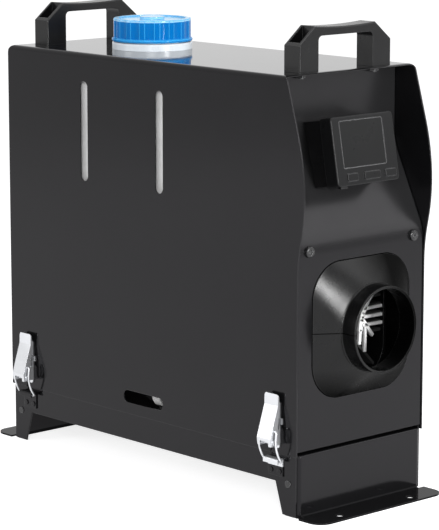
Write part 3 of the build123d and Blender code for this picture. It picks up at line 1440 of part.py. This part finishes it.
def hose_routes():
    """Corner points and bend radii of the three hoses, each from spigot to spigot."""
    back = pump_front - pump_length
    tank_end = tank_bottom - spigot_length + hose_lap
    filter_top = filter_z + filter_length / 2 + spigot_length - hose_lap
    filter_foot = filter_z - filter_length / 2 - spigot_length + hose_lap
    x, y = fuel_outlet_x, fuel_outlet_y
    return (
        ([(x, y, tank_end), (x, y, filter_top)], None),
        ([(x, y, filter_foot), (x, y, pump_z + 24), (x, pump_y, pump_z),
          (pump_front + spigot_length - hose_lap, pump_y, pump_z)], [14, 12]),
        ([(back - spigot_length + hose_lap, pump_y, pump_z), (fuel_stub_x, pump_y, pump_z),
          (fuel_stub_x, 0, pump_z), (fuel_stub_x, 0, fuel_stub_end + hose_lap)], [11, 12]),
    )


def make_hoses():
    with BuildPart() as hoses:
        for points, radii in hose_routes():
            with BuildLine() as route:
                if radii:
                    FilletPolyline(*points, radius=radii)
                else:
                    Line(*points)
            with BuildSketch(Plane(origin=points[0], z_dir=Vector(*points[1]) - Vector(*points[0]))):
                Circle(hose_r)
                Circle(hose_bore, mode=Mode.SUBTRACT)
            sweep(path=route.wires()[0])
    save(hoses.part, "fuel_hoses")


def build_all():
    make_cover()
    make_front_panel()
    make_rear_panel()
    make_base_tray()
    make_foot_plate(1, "front_foot_plate")
    make_foot_plate(-1, "rear_foot_plate")
    make_base_rivets()
    for x, name in zip(handle_x, ("rear_handle", "front_handle")):
        make_handle(x, name)
    make_case_screws()
    make_tank_shelf()
    make_tank()
    make_neck_ring()
    make_tank_pads()
    make_cap_seal()
    make_cap()
    make_brackets()
    for (x, way), corner in zip(latch_places(), latch_corners):
        make_lever(x, way, f"{corner}_latch_lever")
        make_bail(x, way, f"{corner}_latch_bail")
    make_keepers()
    make_latch_rivets()
    make_controller_housing()
    make_controller_lens()
    make_controller_board()
    make_buttons()
    make_controller_holder()
    make_casing(False, "heater_lower_case")
    make_casing(True, "heater_upper_case")
    make_outlet_adaptor()
    make_heat_exchanger()
    make_burner_tube()
    make_glow_plug()
    make_overheat_sensor()
    make_fuel_inlet()
    make_blower_housing()
    make_blower_motor()
    make_rotor()
    make_control_unit()
    make_inlet_grille()
    make_cable_grommet()
    make_stand()
    make_gasket()
    make_stand_bolts()
    make_pipe(exhaust_x, exhaust_r, "exhaust_pipe")
    make_pipe(intake_x, intake_r, "intake_pipe")
    make_pump()
    make_pump_mount()
    make_filter()
    make_hoses()


build_all()
print(len(written), "pieces written")
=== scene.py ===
import math
import bpy
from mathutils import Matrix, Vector


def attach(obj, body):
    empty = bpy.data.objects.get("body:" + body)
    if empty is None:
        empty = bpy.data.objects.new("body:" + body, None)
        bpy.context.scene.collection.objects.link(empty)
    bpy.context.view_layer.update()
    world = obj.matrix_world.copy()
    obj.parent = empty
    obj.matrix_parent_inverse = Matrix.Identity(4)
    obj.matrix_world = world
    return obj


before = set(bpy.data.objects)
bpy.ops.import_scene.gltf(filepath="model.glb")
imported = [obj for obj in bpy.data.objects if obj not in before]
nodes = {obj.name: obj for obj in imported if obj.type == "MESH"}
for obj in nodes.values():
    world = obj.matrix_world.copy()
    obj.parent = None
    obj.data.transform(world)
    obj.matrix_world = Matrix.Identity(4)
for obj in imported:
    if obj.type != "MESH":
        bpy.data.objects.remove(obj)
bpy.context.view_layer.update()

mm = 0.001

print("stage: camera")
cameraSettings = {
    "place": (1.6504, -1.4999, 0.5849),
    "aim": (0.0129, 0.0, 0.1799),
    "lens": 174.95,
    "sensor": 36.0,
}
bpy.ops.object.select_all(action="DESELECT")
bpy.ops.object.camera_add(location=cameraSettings["place"])
camera = bpy.context.object
camera.name = "photoCamera"
camera.data.lens = cameraSettings["lens"]
camera.data.sensor_width = cameraSettings["sensor"]
camera.data.clip_start = 0.05
camera.data.clip_end = 60.0
lookLine = Vector(cameraSettings["aim"]) - Vector(cameraSettings["place"])
camera.rotation_mode = "QUATERNION"
camera.rotation_quaternion = lookLine.to_track_quat("-Z", "Y")
bpy.context.scene.camera = camera
bpy.context.scene.view_settings.view_transform = "Standard"


# ---- small helpers for node trees

def addNode(tree, kind, place, **values):
    node = tree.nodes.new(kind)
    node.location = place
    for key, value in values.items():
        if key in node.inputs:
            node.inputs[key].default_value = value
        else:
            setattr(node, key, value)
    return node


def joinUp(tree, fromSocket, toSocket):
    tree.links.new(fromSocket, toSocket)


def whiteForEye(tree, place):
    # 1 where the camera, a gloss or a clear piece looks at the backdrop, 0 for plain light
    path = addNode(tree, "ShaderNodeLightPath", place)
    eyeOrGloss = addNode(tree, "ShaderNodeMath", (place[0] + 200, place[1]), operation="MAXIMUM")
    anyLook = addNode(tree, "ShaderNodeMath", (place[0] + 400, place[1]), operation="MAXIMUM")
    joinUp(tree, path.outputs["Is Camera Ray"], eyeOrGloss.inputs[0])
    joinUp(tree, path.outputs["Is Glossy Ray"], eyeOrGloss.inputs[1])
    joinUp(tree, eyeOrGloss.outputs[0], anyLook.inputs[0])
    joinUp(tree, path.outputs["Is Transmission Ray"], anyLook.inputs[1])
    return anyLook.outputs[0]


print("stage: backdrop and lights")
backdropSettings = {
    "skyLight": 0.40,
    "floorSize": 14.0,
    "floorColour": (0.62, 0.62, 0.63, 1.0),
    "floorLift": 0.80,
}
world = bpy.data.worlds.new("paleStudio")
bpy.context.scene.world = world
world.use_nodes = True
world.node_tree.nodes.clear()
worldOut = addNode(world.node_tree, "ShaderNodeOutputWorld", (600, 0))
skyShader = addNode(world.node_tree, "ShaderNodeBackground", (0, 100), Color=(1, 1, 1, 1),
                    Strength=backdropSettings["skyLight"])
whiteShader = addNode(world.node_tree, "ShaderNodeBackground", (0, -100), Color=(1, 1, 1, 1), Strength=1.0)
skyMix = addNode(world.node_tree, "ShaderNodeMixShader", (300, 0))
joinUp(world.node_tree, whiteForEye(world.node_tree, (-700, 300)), skyMix.inputs[0])
joinUp(world.node_tree, skyShader.outputs[0], skyMix.inputs[1])
joinUp(world.node_tree, whiteShader.outputs[0], skyMix.inputs[2])
joinUp(world.node_tree, skyMix.outputs[0], worldOut.inputs[0])

bpy.ops.mesh.primitive_plane_add(size=backdropSettings["floorSize"], location=(0, 0, 0))
floor = bpy.context.object
floor.name = "studioFloor"
floorLook = bpy.data.materials.new("paleFloor")
floorLook.use_nodes = True
floorTree = floorLook.node_tree
floorTree.nodes.clear()
floorOut = addNode(floorTree, "ShaderNodeOutputMaterial", (800, 0))
floorPaint = addNode(floorTree, "ShaderNodeBsdfDiffuse", (0, 100), Color=backdropSettings["floorColour"])
floorGlow = addNode(floorTree, "ShaderNodeEmission", (200, -100), Color=(1, 1, 1, 1))
floorLift = addNode(floorTree, "ShaderNodeMath", (0, -100), operation="MULTIPLY")
floorLift.inputs[1].default_value = backdropSettings["floorLift"]
floorSum = addNode(floorTree, "ShaderNodeAddShader", (500, 0))
joinUp(floorTree, whiteForEye(floorTree, (-700, -100)), floorLift.inputs[0])
joinUp(floorTree, floorLift.outputs[0], floorGlow.inputs["Strength"])
joinUp(floorTree, floorPaint.outputs[0], floorSum.inputs[0])
joinUp(floorTree, floorGlow.outputs[0], floorSum.inputs[1])
joinUp(floorTree, floorSum.outputs[0], floorOut.inputs[0])
floor.data.materials.append(floorLook)

lampAim = (0.0, 0.0, 0.2)
lampSettings = [
    {"name": "topSoftbox", "place": (0.15, -0.1, 1.9), "size": (1.2, 1.0), "power": 14.0},
    {"name": "shoulderSoftbox", "place": (1.55, 0.03, 0.47), "size": (0.3, 0.3), "power": 20.0},
    {"name": "panelSoftbox", "place": (1.03, 1.05, 0.9), "size": (0.9, 0.9), "power": 4.4},
    {"name": "leftSoftbox", "place": (-0.9, -1.9, 0.7), "size": (0.8, 0.8), "power": 12.0},
    {"name": "frontSoftbox", "place": (1.75, -1.75, 0.95), "size": (0.8, 0.8), "power": 30.0},
]
for lamp in lampSettings:
    bpy.ops.object.light_add(type="AREA", location=lamp["place"])
    softbox = bpy.context.object
    softbox.name = lamp["name"]
    softbox.data.shape = "RECTANGLE"
    softbox.data.size, softbox.data.size_y = lamp["size"]
    softbox.data.energy = lamp["power"]
    aimLine = Vector(lampAim) - Vector(lamp["place"])
    softbox.rotation_mode = "QUATERNION"
    softbox.rotation_quaternion = aimLine.to_track_quat("-Z", "Y")


print("stage: finishes")


usualFinish = {  # what a finish has where it says nothing else
    "Metallic": 0.0,
    "IOR": 1.5,
    "gloss": (1, 1, 1, 1),
    "stretch": (1, 1, 1),
    "mottle": 0.08,
    "mottleScale": 14.0,
    "smear": 0.12,
    "smearScale": 60.0,
    "grain": 0.15,
    "grainScale": 1100.0,
    "depth": 0.05,
    "edge": 0.5,
    # where the painted edge highlight starts and where it is full
    "rimStart": 0.998,
    "rimTurn": 0.93,
}
noiseMiddle = (0.3, 0.7)  # most of a noise texture's values lie between these
patchDrop = 1100  # room that each patch's nodes take in the node editor


def paintSurface(tree, ownFinish, drop):
    # colour mottled a little, roughness that varies, a fine grain, softened edges with a painted highlight
    # along them
    finish = {**usualFinish, **ownFinish}
    shader = addNode(tree, "ShaderNodeBsdfPrincipled", (0, drop))
    shader.inputs["Metallic"].default_value = finish["Metallic"]
    shader.inputs["IOR"].default_value = finish["IOR"]
    shader.inputs["Specular Tint"].default_value = finish["gloss"]
    coords = addNode(tree, "ShaderNodeTexCoord", (-1500, drop))
    stretch = addNode(tree, "ShaderNodeMapping", (-1300, drop), Scale=finish["stretch"])
    joinUp(tree, coords.outputs["Object"], stretch.inputs["Vector"])

    mottle = addNode(tree, "ShaderNodeTexNoise", (-1050, drop + 250), Scale=finish["mottleScale"],
                     Detail=4.0, Roughness=0.6)
    tint = addNode(tree, "ShaderNodeValToRGB", (-700, drop + 250))
    shares = (1 - finish["mottle"], 1 + finish["mottle"])
    for element, place, share in zip(tint.color_ramp.elements, noiseMiddle, shares):
        element.position = place
        element.color = [min(part * share, 1.0) for part in finish["colour"]] + [1]
    joinUp(tree, stretch.outputs[0], mottle.inputs["Vector"])
    joinUp(tree, mottle.outputs["Fac"], tint.inputs[0])

    smear = addNode(tree, "ShaderNodeTexNoise", (-1050, drop), Scale=finish["smearScale"], Detail=3.0)
    rough = addNode(tree, "ShaderNodeMapRange", (-700, drop))
    rough.inputs["From Min"].default_value = noiseMiddle[0]
    rough.inputs["From Max"].default_value = noiseMiddle[1]
    rough.inputs["To Min"].default_value = finish["rough"] * (1 - finish["smear"])
    rough.inputs["To Max"].default_value = finish["rough"] * (1 + finish["smear"])
    joinUp(tree, stretch.outputs[0], smear.inputs["Vector"])
    joinUp(tree, smear.outputs["Fac"], rough.inputs["Value"])
    joinUp(tree, rough.outputs[0], shader.inputs["Roughness"])

    grain = addNode(tree, "ShaderNodeTexNoise", (-1050, drop - 300), Scale=finish["grainScale"], Detail=2.0)
    edge = addNode(tree, "ShaderNodeBevel", (-1050, drop - 500), Radius=finish["edge"] * mm)
    edge.samples = 4
    bump = addNode(tree, "ShaderNodeBump", (-400, drop - 300), Strength=finish["grain"],
                   Distance=finish["depth"] * mm)
    joinUp(tree, stretch.outputs[0], grain.inputs["Vector"])
    joinUp(tree, grain.outputs["Fac"], bump.inputs["Height"])
    joinUp(tree, edge.outputs[0], bump.inputs["Normal"])
    joinUp(tree, bump.outputs[0], shader.inputs["Normal"])

    # near an edge the softened normal leaves the true one, and the rim's colour comes in as a painted
    # highlight along the edge
    flat = addNode(tree, "ShaderNodeNewGeometry", (-1050, drop - 650))
    turn = addNode(tree, "ShaderNodeVectorMath", (-850, drop - 600), operation="DOT_PRODUCT")
    # share of the painted edge highlight: how far the softened normal has turned from the true one
    edgeHighlightShare = addNode(tree, "ShaderNodeMapRange", (-650, drop - 600))
    edgeHighlightShare.inputs["From Min"].default_value = finish["rimStart"]
    edgeHighlightShare.inputs["From Max"].default_value = finish["rimTurn"]
    rim = addNode(tree, "ShaderNodeMixRGB", (-300, drop + 200))
    rim.inputs[2].default_value = list(finish.get("rim", finish["colour"])) + [1]
    joinUp(tree, edge.outputs[0], turn.inputs[0])
    joinUp(tree, flat.outputs["Normal"], turn.inputs[1])
    joinUp(tree, turn.outputs["Value"], edgeHighlightShare.inputs["Value"])
    joinUp(tree, edgeHighlightShare.outputs[0], rim.inputs[0])
    joinUp(tree, tint.outputs[0], rim.inputs[1])
    joinUp(tree, rim.outputs[0], shader.inputs["Base Color"])
    return shader.outputs[0]


def joinLimits(tree, limits, drop):
    # 1 within all the limits: each runs from 0 to 1 between two places on an axis of the part
    coords = addNode(tree, "ShaderNodeTexCoord", (200, drop))
    parts = addNode(tree, "ShaderNodeSeparateXYZ", (400, drop))
    joinUp(tree, coords.outputs["Object"], parts.inputs[0])
    inside = None
    for axis, start, end in limits:
        share = addNode(tree, "ShaderNodeMapRange", (600, drop - 250 * axis))
        share.inputs["From Min"].default_value = start * mm
        share.inputs["From Max"].default_value = end * mm
        joinUp(tree, parts.outputs[axis], share.inputs["Value"])
        if inside is None:
            inside = share.outputs[0]
        else:
            both = addNode(tree, "ShaderNodeMath", (800, drop - 250 * axis), operation="MULTIPLY")
            joinUp(tree, inside, both.inputs[0])
            joinUp(tree, share.outputs[0], both.inputs[1])
            inside = both.outputs[0]
    return inside


def makeFinish(name, finish):
    # a finish, with the other finishes of its patches laid over it
    look = bpy.data.materials.new(name)
    look.use_nodes = True
    tree = look.node_tree
    tree.nodes.clear()
    surface = paintSurface(tree, finish, 0)
    for step, (limits, patch) in enumerate(finish.get("patches", [])):
        drop = -patchDrop * (step + 1)
        patchMix = addNode(tree, "ShaderNodeMixShader", (1000, drop))
        joinUp(tree, joinLimits(tree, limits, drop), patchMix.inputs[0])
        joinUp(tree, surface, patchMix.inputs[1])
        joinUp(tree, paintSurface(tree, patch, drop), patchMix.inputs[2])
        surface = patchMix.outputs[0]
    lookOut = addNode(tree, "ShaderNodeOutputMaterial", (1200, 0))
    joinUp(tree, surface, lookOut.inputs[0])
    return look


# each "rim" colour below is a painted highlight laid along that finish's edges
finishSettings = {
    "powderCoat": {"colour": (0.0045, 0.0045, 0.0049), "rough": 0.12, "IOR": 1.28,
                   "gloss": (0.975, 0.945, 1, 1), "grain": 0.04, "grainScale": 500.0, "depth": 0.03,
                   "edge": 0.6, "mottle": 0.1, "rim": (0.03, 0.03, 0.031)},
    "bareSteel": {"colour": (0.42, 0.42, 0.43), "rough": 0.34, "Metallic": 1.0, "grainScale": 500.0,
                  "stretch": (0.25, 1, 1)},
    "stainless": {"colour": (0.5, 0.49, 0.47), "rough": 0.28, "Metallic": 1.0, "grainScale": 900.0},
    "blackScrew": {"colour": (0.006, 0.006, 0.0065), "rough": 0.25, "IOR": 1.45, "grain": 0.1, "edge": 0.5,
                   "rim": (0.2, 0.2, 0.205), "rimTurn": 0.96},
    "zincPlate": {"colour": (0.62, 0.63, 0.65), "rough": 0.3, "Metallic": 0.75, "grainScale": 800.0,
                  "grain": 0.12, "edge": 0.3},
    "handlePlastic": {"colour": (0.005, 0.005, 0.0053), "rough": 0.25, "IOR": 1.34, "grain": 0.3,
                      "grainScale": 1600.0, "edge": 0.6, "rim": (0.03, 0.03, 0.031)},
    "ductPlastic": {"colour": (0.003, 0.003, 0.0032), "rough": 0.27, "IOR": 1.28, "grain": 0.35,
                    "grainScale": 1500.0, "edge": 0.5, "rim": (0.05, 0.05, 0.05)},
    "controllerPlastic": {"colour": (0.006, 0.0061, 0.0065), "rough": 0.3, "IOR": 1.22, "grain": 0.2,
                          "grainScale": 2200.0, "edge": 0.6, "rim": (0.1, 0.1, 0.102)},
    "screenPlastic": {"colour": (0.006, 0.0062, 0.0064), "rough": 0.3, "IOR": 1.22, "grain": 0.0, "edge": 1.0,
                      "rim": (0.22, 0.22, 0.225), "rimTurn": 0.96},
    "boardGreen": {"colour": (0.02, 0.13, 0.05), "rough": 0.35},
    "tankWhite": {"colour": (0.97, 0.97, 0.96), "rough": 0.36, "IOR": 1.5, "grain": 0.5, "grainScale": 160.0,
                  "depth": 0.4, "mottle": 0.16, "mottleScale": 55.0},
    "capBlue": {"colour": (0.0, 0.145, 0.46), "rough": 0.16, "IOR": 1.16, "grain": 0.03, "edge": 1.2,
                "rim": (0.04, 0.36, 0.74), "rimTurn": 0.985},
    "ringWhite": {"colour": (0.64, 0.69, 0.74), "rough": 0.25, "IOR": 1.4, "grain": 0.05, "edge": 0.4},
    "sealRubber": {"colour": (0.012, 0.012, 0.012), "rough": 0.6, "grain": 0.3},
    "shadedCasting": {"colour": (0.03, 0.03, 0.03), "rough": 0.7, "grain": 0.5, "grainScale": 700.0},
    "castAluminium": {"colour": (0.97, 0.97, 0.97), "rough": 0.6, "grain": 0.5, "grainScale": 700.0,
                      "depth": 0.1},
}

# places on the part's axes, 0 for x to 2 for z, between which a patch comes in
patchLimits = {
    "frontEnd": (0, -1.0, 1.0),
    "farFlank": (1, -12.0, 26.0),
    "aboveFlange": (2, 2.9, 3.0),
    "latchHook": (2, 41.4, 41.5),
    "clampTop": (2, 60.4, 60.5),
    "lowFlank": (2, 122.0, 98.0),
    "aboveSeam": (2, 152.5, 152.6),
    "belowSeam": (2, 153.4, 153.3),
    "panelSlope": (2, 218.0, 236.0),
    "coverTop": (2, 363.6, 363.7),
    "capTop": (2, 388.9, 389.0),
}


def patched(base, *patches):
    # a finish with patches, each given by the names of its limits and its own finish
    return {**base, "patches": [([patchLimits[name] for name in names], patch) for names, patch in patches]}


coat = finishSettings["powderCoat"]
duct = finishSettings["ductPlastic"]
zinc = finishSettings["zincPlate"]
blue = finishSettings["capBlue"]
dullCoat = {**coat, "IOR": 1.12}
# a darker, duller copy of the duct plastic: painted shade on the adaptor's far and low flanks, and, rougher,
# the real dark mould seam on its left flank
shadeAndSeamDuct = {**duct, "IOR": 1.07, "colour": (0.001, 0.001, 0.001)}
# a lighter copy of the coat for the panel's upper slope: painted light where the slope faces the lamps
litSlopeCoat = {**coat, "rough": 0.24, "colour": (0.012, 0.012, 0.0125)}
finishSettings.update({
    "coverCoat": patched(coat, (["coverTop"], {**coat, "IOR": 1.53, "rough": 0.08})),
    "panelCoat": patched({**coat, "rough": 0.2}, (["panelSlope"], litSlopeCoat)),
    "footCoat": patched(dullCoat, (["aboveFlange"], coat)),
    "rivetCoat": patched(coat, (["latchHook"], zinc)),
    # keepers: black coat plates with zinc hooks at the front end; the rear hooks, zinc like the front ones,
    # are given black coat as painted shade
    "keeperCoat": patched(coat, (["frontEnd", "latchHook"], zinc)),
    # the cap's top face takes a lighter, glossier copy of the blue: painted light from above
    "capCoat": patched(blue, (["capTop"], {**blue, "IOR": 1.55, "colour": (0.25, 0.55, 0.8)})),
    # adaptor: painted shade on the far flank and the low flank, then the mould seam line
    "adaptorPlastic": patched(duct, (["farFlank"], shadeAndSeamDuct), (["lowFlank"], shadeAndSeamDuct),
                              (["aboveSeam", "belowSeam"], {**shadeAndSeamDuct, "rough": 0.6})),
    "clampNylon": patched(finishSettings["sealRubber"], (["clampTop"], finishSettings["tankWhite"])),
})
finishes = {name: makeFinish(name, finish) for name, finish in finishSettings.items()}

nodeFinish = {
    "coverCoat": ["cover_shell"],
    "panelCoat": ["front_panel"],
    "footCoat": ["front_foot_plate", "rear_foot_plate"],
    "powderCoat": ["rear_panel", "base_tray", "tank_shelf"],
    "blackScrew": ["base_rivets", "case_screws"],
    "bareSteel": ["heater_stand", "stand_bolts", "blower_motor", "blower_shaft", "fuel_pump", "pump_plunger",
                  "fuel_inlet"],
    "stainless": ["burner_tube", "glow_plug", "overheat_sensor", "exhaust_pipe", "intake_pipe"],
    "zincPlate": [name for name in nodes if "_latch_" in name or name == "latch_brackets"],
    "keeperCoat": ["latch_keepers"],
    "rivetCoat": ["latch_rivets"],
    "handlePlastic": ["front_handle", "rear_handle", "controller_holder"],
    "adaptorPlastic": ["outlet_adaptor"],
    "ductPlastic": ["inlet_grille", "heater_lower_case", "heater_upper_case", "fan_wheel",
                    "combustion_impeller", "control_unit"],
    "controllerPlastic": ["controller_housing", "left_button", "middle_button", "right_button"],
    "screenPlastic": ["controller_lens"],
    "boardGreen": ["controller_board"],
    "tankWhite": ["fuel_tank", "fuel_filter"],
    "capCoat": ["filler_cap"],
    "ringWhite": ["neck_ring"],
    "sealRubber": ["cap_seal", "tank_pads", "cable_grommet", "heater_gasket", "fuel_hoses"],
    "clampNylon": ["pump_mount"],
    "castAluminium": ["blower_housing"],
    "shadedCasting": ["heat_exchanger"],
}
for finishName, members in nodeFinish.items():
    for member in members:
        piece = nodes[member]
        piece.data.materials.clear()
        piece.data.materials.append(finishes[finishName])

print("stage: exchanger front")
ribSettings = {  # places across the heater and above the floor, in mm
    "rear": 158.6,
    "front": 161.6,
    "runOn": 0.6,  # share of its width by which a bar runs on past its ends
    "edgeRound": 0.5,
    "spine": [(39.7, 168.9), (35.4, 164.8), (31.7, 160.1), (28.5, 154.9), (26.8, 149.1), (25.6, 140.8),
              (24.8, 129.2)],
    "spineWidths": [2.4, 3.0, 4.0, 4.6, 4.6, 3.2],
    "branches": [
        ((31.6, 145.5), (31.6, 121.7), 2.6),
        ((29.5, 148.4), (40.3, 134.9), 3.0),
        ((29.0, 158.4), (50.6, 158.8), 2.8),
        ((26.7, 151.5), (50.8, 151.3), 2.8),
        ((27.4, 144.5), (50.9, 144.2), 2.8),
    ],
}


def addBar(start, end, width):
    # a bar with softened edges from one place to another, in the plane of the exchanger's front
    run, rise = end[0] - start[0], end[1] - start[1]
    depth = ribSettings["front"] - ribSettings["rear"]
    length = math.hypot(run, rise) + ribSettings["runOn"] * width
    middle = (ribSettings["rear"] + depth / 2, (start[0] + end[0]) / 2, (start[1] + end[1]) / 2)
    bpy.ops.object.select_all(action="DESELECT")
    bpy.ops.mesh.primitive_cube_add(size=1.0, location=(0, 0, 0))
    bpy.ops.object.mode_set(mode="EDIT")
    bpy.ops.mesh.select_all(action="SELECT")
    bpy.ops.transform.resize(value=(depth * mm, length * mm, width * mm))
    bpy.ops.mesh.bevel(offset=ribSettings["edgeRound"] * mm, segments=2)
    bpy.ops.mesh.select_all(action="SELECT")
    bpy.ops.transform.rotate(value=-math.atan2(rise, run), orient_axis="X", center_override=(0, 0, 0))
    bpy.ops.transform.translate(value=[part * mm for part in middle])
    bpy.ops.object.mode_set(mode="OBJECT")
    return bpy.context.object


spine = ribSettings["spine"]
bars = [addBar(*bar) for bar in zip(spine, spine[1:], ribSettings["spineWidths"])]
bars += [addBar(*bar) for bar in ribSettings["branches"]]
bpy.ops.object.select_all(action="DESELECT")
for bar in bars:
    bar.select_set(True)
bpy.context.view_layer.objects.active = bars[0]
bpy.ops.object.join()
exchangerFront = bpy.context.object
exchangerFront.name = "exchanger_front"
bpy.ops.object.mode_set(mode="EDIT")
bpy.ops.mesh.select_all(action="SELECT")
bpy.ops.mesh.normals_make_consistent(inside=False)
bpy.ops.object.mode_set(mode="OBJECT")
exchangerFront.data.materials.clear()
exchangerFront.data.materials.append(finishes["castAluminium"])
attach(exchangerFront, "case")

print("stage: sizes")
